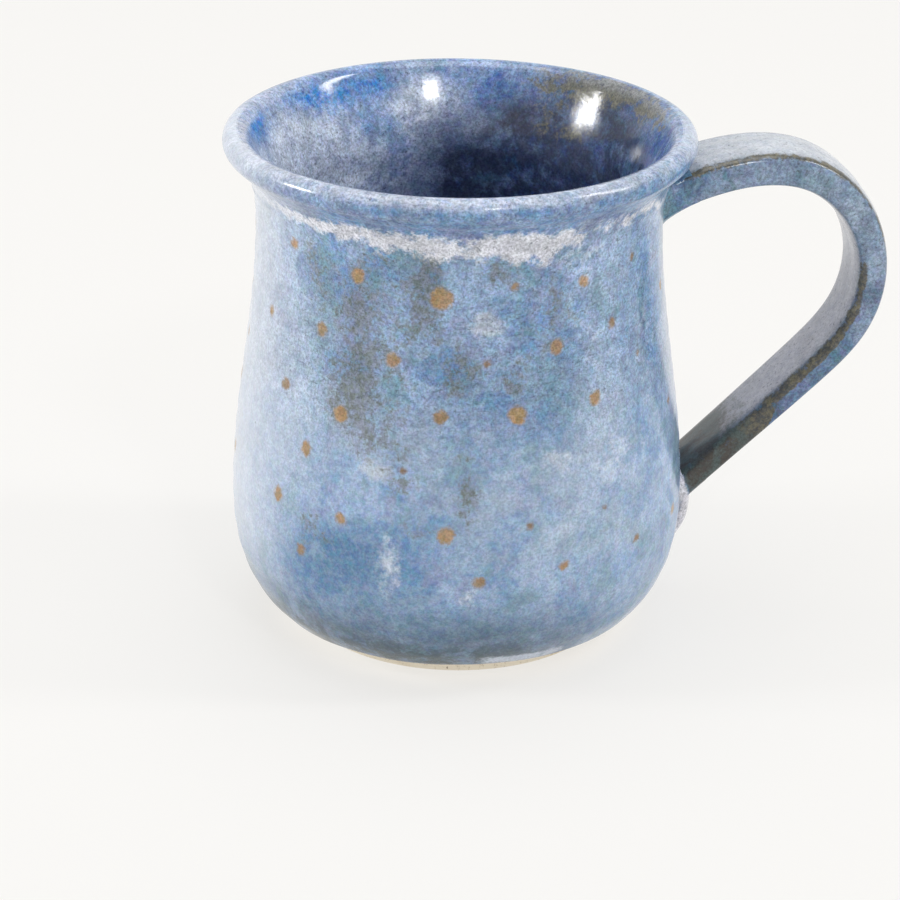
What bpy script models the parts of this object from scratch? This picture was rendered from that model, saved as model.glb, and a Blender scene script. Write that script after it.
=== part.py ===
"""Ceramic mug: a thrown stoneware cup with a pulled strap handle, coated inside and out in glaze.

The clay body is turned about Z and stands on Z = 0. The handle is on +X. The sizes of the body and the
handle are those of the bare clay, and the coats of glaze are offsets from it.
"""

import math

import bmesh
import bpy
import numpy as np

# Thrown body, bare clay, in metres
HEIGHT = 0.0996  # from the table to the top of the lip
RIM_RADIUS = 0.0442  # outside of the lip
LIP_ROUND = 0.0018  # radius of the lip's rounded edge
NECK_RADIUS = 0.0382
NECK_DROP = 0.0176  # from the top of the lip down to the neck
BELLY_RADIUS = 0.0434
BELLY_HEIGHT = 0.0262
FOOT_RADIUS = 0.0303
FOOT_HEIGHT = 0.0022  # bare band that stands on the table
FOOT_BEVEL = 0.0004
WALL = 0.0034
FLOOR = 0.0050
FLOOR_FLAT_RADIUS = 0.0200  # level middle of the cup's floor
HEEL_FULLNESS = 2.3  # powers of the heel's curve, from the foot to the belly
HEEL_UNDERCUT = 0.59
LIP_UNDERSIDE = math.radians(50)  # the lip's round starts this far below its widest point
LIP_INSIDE = math.radians(150)  # and ends here, on the cup's inside
GLAZE_LINE = 0.012  # where the outer coat stops, as a share of the heel's height

# Coats and fits
GLAZE = 0.0005
GAP = 0.0003  # between pieces that touch

# Pulled strap handle, bare clay
STRAP_THICKNESS_TOP = 0.0058
STRAP_THICKNESS_BOTTOM = 0.0038
STRAP_WIDTH_TOP = 0.0154
STRAP_WIDTH_BOTTOM = 0.0121
UPPER_JOINT_DROP = 0.0130  # from the top of the lip down to the strap's middle at the wall
LOWER_JOINT_HEIGHT = 0.0250  # from the table up to the strap's middle at the wall
HANDLE_REACH = 0.0367  # from the belly out to the strap's middle at its widest
STRAP_ROOT = 0.0080  # the strap runs on this far behind the wall's surface, before it is trimmed to it
STRAP_SQUARENESS = 6.5  # power of the section's rounded rectangle
# The strap's route, as shares of the reach beyond the belly and of the height between the two joints
STRAP_ROUTE = (
    (0.307, 1.074),
    (0.660, 1.050),
    (0.894, 0.932),
    (1.000, 0.757),
    (0.930, 0.553),
    (0.704, 0.391),
    (0.383, 0.211),
)

# Luting clay, worked round both ends of the strap
JOINT_SPREAD = 0.0015  # how far it spreads past the strap at the wall
UPPER_JOINT_LENGTH = 0.0062
LOWER_JOINT_LENGTH = 0.0055
TAIL_HEIGHT = 0.0122  # lower end of the tongue smeared down the belly
TAIL_PROUD = 0.0038
TAIL_PROUD_END = 0.0008
TAIL_WIDTH_END = 0.0060

# How finely the round shapes are divided
TURN_STEPS = 40
SECTION_POINTS = 16
HEEL_POINTS = 6
WAIST_POINTS = 6
FLARE_POINTS = 4
LIP_POINTS = 4
BOWL_POINTS = 6
STRAP_STATIONS = 26
JOINT_STATIONS = 8
TAIL_STATIONS = 7
SMOOTH_ANGLE = math.radians(40)

NECK_HEIGHT = HEIGHT - NECK_DROP
LIP_HEIGHT = HEIGHT - LIP_ROUND  # centre of the lip's round
LIP_CENTRE_RADIUS = RIM_RADIUS - LIP_ROUND
COAT = GAP + GLAZE  # from the clay to the outside of a coat


def clear_scene():
    for item in list(bpy.data.objects):
        bpy.data.objects.remove(item, do_unlink=True)


def new_collection(name, is_cutters=False):
    collection = bpy.data.collections.new(name)
    collection.hide_render = is_cutters
    bpy.context.scene.collection.children.link(collection)
    return collection


def principled(name, colour, roughness):
    material = bpy.data.materials.new(name)
    material.use_nodes = True
    shader = material.node_tree.nodes["Principled BSDF"]
    shader.inputs["Base Color"].default_value = (*colour, 1.0)
    shader.inputs["Roughness"].default_value = roughness
    shader.inputs["Metallic"].default_value = 0.0
    return material


def ease(share):
    """Rises from 0 to 1, level at both ends."""
    return share * share * (3 - 2 * share)


def flare(share, low, high, length, slope):
    """Runs from low, level, to high, where it climbs by slope over a stretch of this length."""
    return low + (high - low) * ease(share) + slope * length * share * share * (share - 1)


def lip_point(angle):
    """Radius and height on the lip's round. An angle of 0 faces outwards, and a quarter turn faces up."""
    return (
        LIP_CENTRE_RADIUS + LIP_ROUND * np.cos(angle),
        LIP_HEIGHT + LIP_ROUND * np.sin(angle),
    )


def outer_radius(height):
    """Outside of the clay: a full heel up to the belly, an easy waist up to the neck, and a flare to the lip."""
    rise = np.clip((height - FOOT_HEIGHT) / (BELLY_HEIGHT - FOOT_HEIGHT), 0, 1)
    heel = (1 - (1 - rise) ** HEEL_FULLNESS) ** HEEL_UNDERCUT
    waist = ease(np.clip((height - BELLY_HEIGHT) / (NECK_HEIGHT - BELLY_HEIGHT), 0, 1))
    edge_radius, edge_height = lip_point(-LIP_UNDERSIDE)
    length = edge_height - NECK_HEIGHT
    share = np.clip((height - NECK_HEIGHT) / length, 0, 1)
    slope = math.tan(LIP_UNDERSIDE)
    return (
        FOOT_RADIUS
        + (BELLY_RADIUS - FOOT_RADIUS) * heel
        + (NECK_RADIUS - BELLY_RADIUS) * waist
        + flare(share, NECK_RADIUS, edge_radius, length, slope)
        - NECK_RADIUS
    )


def outer_outline():
    """(radius, height) up the outside of the clay, from the foot's top edge to the lip's crest."""
    heel = np.append(0, np.linspace(math.sqrt(GLAZE_LINE), 1, HEEL_POINTS)) ** 2
    heights = np.concatenate(
        [
            FOOT_HEIGHT + (BELLY_HEIGHT - FOOT_HEIGHT) * heel,
            np.linspace(BELLY_HEIGHT, NECK_HEIGHT, WAIST_POINTS)[1:],
            np.linspace(NECK_HEIGHT, lip_point(-LIP_UNDERSIDE)[1], FLARE_POINTS)[1:-1],
        ]
    )
    lip = np.column_stack(lip_point(np.linspace(-LIP_UNDERSIDE, crest(-1), LIP_POINTS)))
    return np.vstack([np.column_stack([outer_radius(heights), heights]), lip])


def inner_outline():
    """(radius, height) down the inside of the clay, from the lip's crest to the middle of the floor."""
    lip = np.column_stack(lip_point(np.linspace(crest(1), LIP_INSIDE, LIP_POINTS)))
    edge_radius, edge_height = lip[-1]
    length = edge_height - NECK_HEIGHT
    share = np.linspace(1, 0, FLARE_POINTS)[1:]
    slope = math.tan(math.pi - LIP_INSIDE)
    neck = NECK_RADIUS - WALL
    belly = BELLY_RADIUS - WALL
    throat = np.column_stack(
        [flare(share, neck, edge_radius, length, slope), NECK_HEIGHT + length * share]
    )
    drop = np.linspace(0, 1, WAIST_POINTS)[1:-1]
    waist = np.column_stack(
        [neck + (belly - neck) * ease(drop), NECK_HEIGHT + (BELLY_HEIGHT - NECK_HEIGHT) * drop]
    )
    turn = np.linspace(0, math.pi / 2, BOWL_POINTS)
    bowl = np.column_stack(
        [
            FLOOR_FLAT_RADIUS + (belly - FLOOR_FLAT_RADIUS) * np.cos(turn),
            BELLY_HEIGHT - (BELLY_HEIGHT - FLOOR) * np.sin(turn),
        ]
    )
    return np.vstack([lip, throat, waist, bowl, [(0, FLOOR)]])


def crest(side):
    """Angle where a coat ends on the lip's crest, half a gap to the outside (-1) or to the inside (1)."""
    return math.pi / 2 + side * GAP / 2 / (LIP_ROUND + GAP)


def offset(outline, distance):
    """The outline moved off the clay by this distance, each point along the mean of its two edges' normals."""
    edges = np.diff(outline, axis=0)
    normals = np.column_stack([edges[:, 1], -edges[:, 0]])
    normals /= np.linalg.norm(normals, axis=1)[:, None]
    at_points = np.vstack([normals[:1], normals[:-1] + normals[1:], normals[-1:]])
    at_points /= np.linalg.norm(at_points, axis=1)[:, None]
    return outline + distance * at_points


def turned(name, outline, collection, is_closed=False):
    """A solid of revolution about Z, from (radius, height) points that run down its outer side."""
    count = len(outline)
    edges = [(i, i + 1) for i in range(count - 1)]
    if is_closed:
        edges.append((count - 1, 0))
    mesh = bpy.data.meshes.new(name)
    mesh.from_pydata([(radius, 0, height) for radius, height in outline], edges, [])
    turned_object = bpy.data.objects.new(name, mesh)
    collection.objects.link(turned_object)
    screw = turned_object.modifiers.new("Turn", "SCREW")
    screw.axis = "Z"
    screw.angle = 2 * math.pi
    screw.steps = TURN_STEPS
    screw.render_steps = TURN_STEPS
    screw.use_merge_vertices = True
    screw.merge_threshold = 0.00001
    screw.use_smooth_shade = True
    return turned_object


def smooth_route(points, count=400):
    """A natural cubic spline through the points, by the distance between them, at count even distances."""
    steps = np.linalg.norm(np.diff(points, axis=0), axis=1)
    knots = np.append(0, np.cumsum(steps))
    size = len(points)
    system = np.eye(size)
    bends = np.zeros((size, 2))
    for i in range(1, size - 1):
        system[i, i - 1 : i + 2] = steps[i - 1], 2 * (steps[i - 1] + steps[i]), steps[i]
        change = np.diff(points[i - 1 : i + 2], axis=0) / steps[i - 1 : i + 1, None]
        bends[i] = 6 * (change[1] - change[0])
    curvature = np.linalg.solve(system, bends)
    place = np.linspace(0, knots[-1], count)
    i = np.clip(np.searchsorted(knots, place, side="right") - 1, 0, size - 2)
    gap = steps[i, None]
    after = (place - knots[i])[:, None]
    before = gap - after
    return (
        (curvature[i] * before**3 + curvature[i + 1] * after**3) / (6 * gap)
        + (points[i] / gap - curvature[i] * gap / 6) * before
        + (points[i + 1] / gap - curvature[i + 1] * gap / 6) * after
    )


def strap_route():
    """The strap's middle line in the plane of X and Z, from wall to wall, and its distances from the upper wall."""
    top = HEIGHT - UPPER_JOINT_DROP
    span = top - LOWER_JOINT_HEIGHT
    route = [(float(outer_radius(top)), top)]
    route += [
        (BELLY_RADIUS + HANDLE_REACH * out, LOWER_JOINT_HEIGHT + span * up) for out, up in STRAP_ROUTE
    ]
    route.append((float(outer_radius(LOWER_JOINT_HEIGHT)), LOWER_JOINT_HEIGHT))
    line = smooth_route(np.array(route))
    distances = np.append(0, np.cumsum(np.linalg.norm(np.diff(line, axis=0), axis=1)))
    return line, distances


def strap_places(places):
    """Points on the strap's middle line at these distances, running straight on behind both walls."""
    line, distances = strap_route()
    start = (line[0] - line[1]) / np.linalg.norm(line[0] - line[1])
    end = (line[-1] - line[-2]) / np.linalg.norm(line[-1] - line[-2])
    points = np.column_stack([np.interp(places, distances, line[:, k]) for k in (0, 1)])
    points += np.maximum(-places, 0)[:, None] * start
    points += np.maximum(places - distances[-1], 0)[:, None] * end
    return points


def lofted(name, points, half_widths, half_thicknesses, collection):
    """A solid along points in the plane of X and Z, with a rounded rectangle across each one."""
    along = np.gradient(points, axis=0)
    along /= np.linalg.norm(along, axis=1)[:, None]
    across = np.column_stack([-along[:, 1], np.zeros(len(points)), along[:, 0]])
    turn = (np.arange(SECTION_POINTS) + 0.5) * 2 * math.pi / SECTION_POINTS
    power = 2 / STRAP_SQUARENESS
    sideways = np.sign(np.cos(turn)) * np.abs(np.cos(turn)) ** power
    outwards = np.sign(np.sin(turn)) * np.abs(np.sin(turn)) ** power
    centres = np.column_stack([points[:, 0], np.zeros(len(points)), points[:, 1]])
    rings = (
        centres[:, None]
        + (half_thicknesses[:, None] * outwards)[..., None] * across[:, None]
        + (half_widths[:, None] * sideways)[..., None] * np.array([0, 1, 0])
    )
    faces = [
        (
            ring * SECTION_POINTS + k,
            ring * SECTION_POINTS + (k + 1) % SECTION_POINTS,
            (ring + 1) * SECTION_POINTS + (k + 1) % SECTION_POINTS,
            (ring + 1) * SECTION_POINTS + k,
        )
        for ring in range(len(points) - 1)
        for k in range(SECTION_POINTS)
    ]
    last = (len(points) - 1) * SECTION_POINTS
    faces.append(tuple(range(SECTION_POINTS)))
    faces.append(tuple(range(last, last + SECTION_POINTS)))
    mesh = bpy.data.meshes.new(name)
    mesh.from_pydata(rings.reshape(-1, 3).tolist(), [], faces)
    shape = bmesh.new()
    shape.from_mesh(mesh)
    bmesh.ops.recalc_face_normals(shape, faces=shape.faces)
    shape.to_mesh(mesh)
    shape.free()
    mesh.shade_smooth()
    mesh.set_sharp_from_angle(angle=SMOOTH_ANGLE)
    lofted_object = bpy.data.objects.new(name, mesh)
    collection.objects.link(lofted_object)
    return lofted_object


def strap(name, places, growth, collection):
    """The strap between these distances, grown all round by growth. It tapers from top to bottom."""
    share = np.clip(places / strap_route()[1][-1], 0, 1)
    widths = STRAP_WIDTH_TOP + (STRAP_WIDTH_BOTTOM - STRAP_WIDTH_TOP) * share
    thicknesses = STRAP_THICKNESS_TOP + (STRAP_THICKNESS_BOTTOM - STRAP_THICKNESS_TOP) * share
    return lofted(
        name, strap_places(places), widths / 2 + growth, thicknesses / 2 + growth, collection
    )


def tail(name, growth, collection):
    """A tongue of clay down the belly below the lower joint, thinner and narrower towards its end."""
    share = np.linspace(0, 1, TAIL_STATIONS)
    heights = LOWER_JOINT_HEIGHT + (TAIL_HEIGHT - LOWER_JOINT_HEIGHT) * share
    heights[-1] -= growth
    points = np.column_stack([outer_radius(heights), heights])
    width_start = STRAP_WIDTH_BOTTOM + 2 * (COAT + JOINT_SPREAD)
    widths = width_start + (TAIL_WIDTH_END - width_start) * ease(share)
    proud = TAIL_PROUD + (TAIL_PROUD_END - TAIL_PROUD) * share**4
    return lofted(name, points, widths / 2 + growth, proud + growth, collection)


def add_boolean(target, cutter, operation, cutters):
    """Adds a Boolean to the target. The other object becomes a helper that isn't part of the mug."""
    modifier = target.modifiers.new(cutter.name, "BOOLEAN")
    modifier.operation = operation
    modifier.solver = "EXACT"
    modifier.object = cutter
    cutter.hide_render = True
    cutter.display_type = "WIRE"
    for collection in list(cutter.users_collection):
        collection.objects.unlink(cutter)
    cutters.objects.link(cutter)


def collar(name, length, is_upper, growth, collection):
    """Luting clay round one end of the strap: a fillet that spreads towards the wall, over this length."""
    depth = np.linspace(-STRAP_ROOT, length, JOINT_STATIONS)
    spread = COAT + JOINT_SPREAD * (1 - np.clip(depth / length, 0, 1)) ** 2
    depth[-1] += growth
    places = depth if is_upper else strap_route()[1][-1] - depth
    return strap(name, places, spread + growth, collection)


def upper_collar(name, growth, collection):
    return collar(name, UPPER_JOINT_LENGTH, True, growth, collection)


def lower_collar(name, growth, collection, cutters):
    """The lower joint, with its tongue of clay down the belly."""
    ring = collar(name, LOWER_JOINT_LENGTH, False, growth, collection)
    add_boolean(ring, tail(name + "_tail", growth, cutters), "UNION", cutters)
    return ring


def make_cup(mug):
    """The thrown body and its two coats. Returns the outer coat, which the joints cut windows in."""
    outside = outer_outline()
    inside = inner_outline()
    foot = [(FOOT_RADIUS, FOOT_BEVEL), (FOOT_RADIUS - FOOT_BEVEL, 0), (0, 0)]
    body = turned("clay_body", np.vstack([inside[::-1], outside[::-1], foot]), mug)
    liner_outline = np.vstack([offset(inside, COAT)[::-1], offset(inside, GAP)])
    liner_coat = turned("liner_glaze", liner_outline, mug)
    coated = outside[1:]
    coat_outline = np.vstack([offset(coated, COAT)[::-1], offset(coated, GAP)])
    outer_coat = turned("outer_glaze", coat_outline, mug, is_closed=True)
    body.data.materials.append(principled("bare_stoneware", (0.72, 0.62, 0.48), 0.75))
    liner_coat.data.materials.append(principled("blue_liner_glaze", (0.20, 0.28, 0.48), 0.15))
    outer_coat.data.materials.append(principled("blue_outer_glaze", (0.22, 0.34, 0.52), 0.2))
    return outer_coat


def make_handle(mug, cutters, outer_coat):
    """The strap, its coat and its two joints, all trimmed to the wall and to each other."""
    length = strap_route()[1][-1]
    whole = np.linspace(-STRAP_ROOT, length + STRAP_ROOT, STRAP_STATIONS + 4)
    coated = np.linspace(
        UPPER_JOINT_LENGTH + GAP, length - LOWER_JOINT_LENGTH - GAP, STRAP_STATIONS
    )
    handle = strap("handle_strap", whole, 0.0, mug)
    handle_coat = strap("handle_glaze", coated, COAT, mug)
    upper = upper_collar("upper_joint", 0.0, mug)
    lower = lower_collar("lower_joint", 0.0, mug, cutters)

    wall_outline = np.vstack([(0, HEIGHT + GAP), offset(outer_outline(), GAP)[::-1], (0, 0)])
    wall_cutter = turned("wall_cutter", wall_outline, cutters)
    core_cutter = strap("core_cutter", whole, GAP, cutters)
    for piece in (handle, upper, lower):
        add_boolean(piece, wall_cutter, "DIFFERENCE", cutters)
    for piece in (handle_coat, upper, lower):
        add_boolean(piece, core_cutter, "DIFFERENCE", cutters)
    add_boolean(outer_coat, upper_collar("upper_window", GAP, cutters), "DIFFERENCE", cutters)
    add_boolean(
        outer_coat, lower_collar("lower_window", GAP, cutters, cutters), "DIFFERENCE", cutters
    )
    handle.data.materials.append(principled("bare_handle_clay", (0.72, 0.62, 0.48), 0.75))
    handle_coat.data.materials.append(principled("blue_handle_glaze", (0.30, 0.36, 0.48), 0.2))
    upper.data.materials.append(principled("upper_joint_glaze", (0.30, 0.38, 0.52), 0.25))
    lower.data.materials.append(principled("lower_joint_glaze", (0.42, 0.42, 0.48), 0.3))


clear_scene()
mug_collection = new_collection("ceramic_mug")
cutter_collection = new_collection("cutters", is_cutters=True)
make_handle(mug_collection, cutter_collection, make_cup(mug_collection))
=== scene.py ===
"""Ceramic mug: the looks of a thrown stoneware cup with a pulled strap handle under a mottled blue glaze.

Every surface is a grid of points worked out from two parameters: round the cup and along its profile, or
round the strap and along its route. Lengths are in metres, with Z up and the handle on +X.
"""

import math

import bpy
import numpy as np
from mathutils import Matrix, Quaternion, Vector


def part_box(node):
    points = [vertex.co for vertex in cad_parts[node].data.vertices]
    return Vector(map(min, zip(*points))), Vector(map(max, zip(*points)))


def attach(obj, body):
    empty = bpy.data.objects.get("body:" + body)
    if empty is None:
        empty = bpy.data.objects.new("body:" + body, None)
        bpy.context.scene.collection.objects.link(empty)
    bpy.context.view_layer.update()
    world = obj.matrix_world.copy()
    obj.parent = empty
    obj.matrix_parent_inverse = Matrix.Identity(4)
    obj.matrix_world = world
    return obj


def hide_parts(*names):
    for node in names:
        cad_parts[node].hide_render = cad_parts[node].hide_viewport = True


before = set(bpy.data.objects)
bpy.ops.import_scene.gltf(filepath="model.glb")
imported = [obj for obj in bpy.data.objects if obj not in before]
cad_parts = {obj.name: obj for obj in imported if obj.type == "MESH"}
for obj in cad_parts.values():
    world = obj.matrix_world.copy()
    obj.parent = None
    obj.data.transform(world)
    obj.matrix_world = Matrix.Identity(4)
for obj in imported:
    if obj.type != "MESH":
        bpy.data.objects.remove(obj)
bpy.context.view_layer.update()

MM = 0.001

# Clay, before the glaze
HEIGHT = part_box("clay_body")[1].z
RIM_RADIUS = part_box("clay_body")[1].y
LIP_ROUND = 1.8 * MM
NECK_RADIUS = 38.2 * MM
NECK_HEIGHT = HEIGHT - 17.6 * MM
BELLY_RADIUS = 43.4 * MM
BELLY_HEIGHT = 26.2 * MM
FOOT_RADIUS = 30.3 * MM
FOOT_HEIGHT = 2.2 * MM
FOOT_BEVEL = 0.4 * MM
WALL = 3.4 * MM
FLOOR = 5.0 * MM
FLOOR_FLAT_RADIUS = 20.0 * MM
HEEL_FULLNESS = 2.3
HEEL_UNDERCUT = 0.59
LIP_UNDERSIDE = math.radians(50)
LIP_INSIDE = math.radians(150)
LIP_HEIGHT = HEIGHT - LIP_ROUND
LIP_CENTRE_RADIUS = RIM_RADIUS - LIP_ROUND

COAT = 0.8 * MM  # from the clay to the surface of the glaze
UNDER_COAT = 0.05 * MM  # from the clay to the back of the glaze

# Strap handle, clay only
STRAP_THICKNESS = (5.8 * MM, 3.8 * MM)  # at the upper and the lower end
STRAP_WIDTH = (15.4 * MM, 12.1 * MM)
UPPER_JOINT = HEIGHT - 13.0 * MM  # heights of the strap's middle at the wall
LOWER_JOINT = 25.0 * MM
HANDLE_REACH = 36.7 * MM
STRAP_SQUARENESS = 6.5
STRAP_ROUTE = (
    (0.307, 1.074),
    (0.660, 1.050),
    (0.894, 0.932),
    (1.000, 0.757),
    (0.930, 0.553),
    (0.704, 0.391),
    (0.383, 0.211),
)
TAIL_END = 9.6 * MM
TAIL_PROUD = 2.9 * MM

TURN = 2 * math.pi
POLE_RADIUS = 0.35 * MM  # of the last ring round a pole
COLUMNS = 384  # of points round each coat of the cup

GLAZE_LINE = FOOT_HEIGHT + 2.1 * MM  # the outer coat's lower edge
COAT_END = math.radians(128)  # on the lip's round, where the outer coat sinks into the liner
DRIP_LINE = 89.3 * MM  # mean height of the thick glaze's lower edge under the rim
RING_PITCH = 4.6 * MM  # climb of the throwing rings in one turn
SPOT_REACH = 3.0  # mm off a spot's edge, where it no longer matters
STRAP_OVERLAP = 1.2 * MM  # how far the strap's coat runs into the joints


# ---- Shapes


def ease(share):
    """Rises from 0 to 1, level at both ends: 3s^2 - 2s^3."""
    share = np.clip(share, 0, 1)
    return share * share * (3 - 2 * share)


def bell(away, width):
    """1 at the middle, falling off over this width: exp(-(away / width)^2)."""
    return np.exp(-((away / width) ** 2))


def flare(share, low, high, length, slope):
    """Cubic from low, level, to high, where it climbs by slope over this length."""
    return low + (high - low) * ease(share) + slope * length * share * share * (share - 1)


def lip_point(angle):
    """Radius and height on the lip's round. An angle of 0 faces outwards, and a quarter turn faces up."""
    return (
        LIP_CENTRE_RADIUS + LIP_ROUND * np.cos(angle),
        LIP_HEIGHT + LIP_ROUND * np.sin(angle),
    )


def outer_radius(height):
    """Outside of the clay: a full heel up to the belly, an easy waist to the neck, and a flare to the lip."""
    rise = np.clip((height - FOOT_HEIGHT) / (BELLY_HEIGHT - FOOT_HEIGHT), 0, 1)
    heel = (1 - (1 - rise) ** HEEL_FULLNESS) ** HEEL_UNDERCUT
    waist = ease((height - BELLY_HEIGHT) / (NECK_HEIGHT - BELLY_HEIGHT))
    edge_radius, edge_height = lip_point(-LIP_UNDERSIDE)
    length = edge_height - NECK_HEIGHT
    share = np.clip((height - NECK_HEIGHT) / length, 0, 1)
    return (
        FOOT_RADIUS
        + (BELLY_RADIUS - FOOT_RADIUS) * heel
        + (NECK_RADIUS - BELLY_RADIUS) * waist
        + flare(share, NECK_RADIUS, edge_radius, length, math.tan(LIP_UNDERSIDE))
        - NECK_RADIUS
    )


def resampled(line, count):
    """The polyline at count places, evenly spaced along it."""
    along = np.append(0, np.cumsum(np.linalg.norm(np.diff(line, axis=0), axis=1)))
    places = np.linspace(0, along[-1], count)
    return np.column_stack([np.interp(places, along, line[:, k]) for k in range(line.shape[1])])


def outside_line(count, start=FOOT_HEIGHT, crest=math.pi / 2):
    """(radius, height) up the outside of the clay, from the start's height to this angle on the lip."""
    heights = start + (LIP_HEIGHT - start) * np.linspace(0, 1, 900) ** 1.6
    heights = heights[heights < lip_point(-LIP_UNDERSIDE)[1]]
    lip = np.column_stack(lip_point(np.linspace(-LIP_UNDERSIDE, crest, 80)))
    return resampled(np.vstack([np.column_stack([outer_radius(heights), heights]), lip]), count)


def inside_line(count):
    """(radius, height) down the inside of the clay, from the lip's crest to the middle of the floor."""
    lip = np.column_stack(lip_point(np.linspace(math.pi / 2, LIP_INSIDE, 60)))
    edge_radius, edge_height = lip[-1]
    length = edge_height - NECK_HEIGHT
    share = np.linspace(1, 0, 80)[1:]
    neck = NECK_RADIUS - WALL
    belly = BELLY_RADIUS - WALL
    slope = math.tan(math.pi - LIP_INSIDE)
    throat = np.column_stack([flare(share, neck, edge_radius, length, slope), NECK_HEIGHT + length * share])
    drop = np.linspace(0, 1, 120)[1:-1]
    waist = np.column_stack(
        [neck + (belly - neck) * ease(drop), NECK_HEIGHT + (BELLY_HEIGHT - NECK_HEIGHT) * drop]
    )
    turn = np.linspace(0, math.pi / 2, 120)
    bowl = np.column_stack(
        [
            FLOOR_FLAT_RADIUS + (belly - FLOOR_FLAT_RADIUS) * np.cos(turn),
            BELLY_HEIGHT - (BELLY_HEIGHT - FLOOR) * np.sin(turn),
        ]
    )
    return resampled(np.vstack([lip, throat, waist, bowl, [(0, FLOOR)]]), count)


def normals_of(line):
    """Unit normals of a (radius, height) line, which face off the clay when it climbs the outside."""
    along = np.gradient(line, axis=0)
    normals = np.column_stack([along[:, 1], -along[:, 0]])
    return normals / np.linalg.norm(normals, axis=1)[:, None]


def offset(line, distance):
    """The line moved along its own normals by this distance, which may vary along it."""
    return line + np.broadcast_to(distance, len(line))[:, None] * normals_of(line)


def waves(angle, height, seed, terms=9, across=5, tall=60.0):
    """Slow uneven swell from -1 to 1: a sum of sines with whole waves round the axis, of random phase."""
    random = np.random.default_rng(seed)
    total = np.zeros(np.broadcast(angle, height).shape)
    for _ in range(terms):
        turns = random.integers(1, across + 1)
        rise = random.uniform(-1, 1) * tall
        total += random.uniform(0.4, 1.0) * np.sin(turns * angle + rise * height + random.uniform(0, TURN))
    return total / terms * 1.6


def throwing_rings(angle, height):
    """Spiral ridges of the thrower's fingers: a sine that climbs one pitch a turn, fading in and out."""
    spiral = np.sin(TURN * height / RING_PITCH - angle + 1.5 * waves(angle, height, 3, across=2))
    return spiral * (0.55 + 0.45 * waves(angle, height, 4, across=3, tall=90.0))


def angles_round(count):
    """Even angles for the columns of a closed grid, as a row."""
    return np.linspace(0, TURN, count, endpoint=False)[None, :]


def grid_faces(rows, columns):
    """Quads between neighbouring rows of a grid whose columns close into a ring."""
    row, column = np.meshgrid(np.arange(rows - 1), np.arange(columns), indexing="ij")
    after = (column + 1) % columns
    low, high = row * columns, (row + 1) * columns
    return np.stack([low + column, low + after, high + after, high + column], -1).reshape(-1, 4)


def new_piece(name, points, quads, triangles=()):
    """A mesh object from whole arrays of points, quads and triangles."""
    mesh = bpy.data.meshes.new(name)
    quads = np.asarray(quads, np.int32).reshape(-1, 4)
    triangles = np.asarray(triangles, np.int32).reshape(-1, 3)
    mesh.vertices.add(len(points))
    mesh.vertices.foreach_set("co", np.asarray(points, np.float32).ravel())
    loops = np.concatenate([quads.ravel(), triangles.ravel()])
    mesh.loops.add(len(loops))
    mesh.loops.foreach_set("vertex_index", loops)
    sizes = np.concatenate([np.full(len(quads), 4), np.full(len(triangles), 3)])
    mesh.polygons.add(len(sizes))
    mesh.polygons.foreach_set("loop_start", np.append(0, np.cumsum(sizes)[:-1]).astype(np.int32))
    mesh.update(calc_edges=True)
    mesh.validate()
    mesh.shade_smooth()
    mesh.set_sharp_from_angle(angle=math.radians(50))
    piece = bpy.data.objects.new(name, mesh)
    bpy.context.scene.collection.objects.link(piece)
    return piece


def signed_volume(points, quads, triangles):
    """Volume inside the faces, below zero when they point inwards: a sixth of the sum of corner products."""
    every = np.concatenate([quads[:, :3], quads[:, [0, 2, 3]], triangles])
    a, b, c = (points[every[:, k]] for k in range(3))
    return float(np.einsum("ij,ij->i", a, np.cross(b, c)).sum()) / 6


def closed_tube(name, rings, marks=None, poles=True):
    """A closed piece from rings of points. The ends close on poles, or the last ring joins the first.

    rings is (rings, columns, 3), and marks is a dictionary of (rings, columns) values kept as attributes.
    """
    rows, columns, _ = rings.shape
    points = rings.reshape(-1, 3)
    quads = grid_faces(rows, columns)
    triangles = np.zeros((0, 3), np.int64)
    column = np.arange(columns)
    after = (column + 1) % columns
    base = (rows - 1) * columns
    if poles:
        first, last = len(points), len(points) + 1
        points = np.vstack([points, rings[0].mean(0), rings[-1].mean(0)])
        triangles = np.vstack(
            [
                np.stack([after, column, np.full(columns, first)], -1),
                np.stack([base + column, base + after, np.full(columns, last)], -1),
            ]
        )
    else:
        quads = np.vstack([quads, np.stack([base + column, base + after, after, column], -1)])
    if signed_volume(points, quads, triangles) < 0:
        quads, triangles = quads[:, ::-1], triangles[:, ::-1]
    piece = new_piece(name, points, quads, triangles)
    for key, values in (marks or {}).items():
        values = np.asarray(values, np.float32).reshape(-1)
        values = np.append(values, np.full(len(points) - len(values), values[-1]))
        attribute = piece.data.attributes.new(key, "FLOAT", "POINT")
        attribute.data.foreach_set("value", values.astype(np.float32))
    return piece


def revolved(line, angle, height_push=0.0, radius_push=0.0):
    """Points of a line turned round Z: (r cos a, r sin a, h), with r and h pushed off by two grids."""
    radius = line[:, 0][:, None] + radius_push + 0 * angle
    height = line[:, 1][:, None] + height_push + 0 * angle
    return np.stack([radius * np.cos(angle), radius * np.sin(angle), height], -1)


# ---- Where the glaze changes

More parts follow.
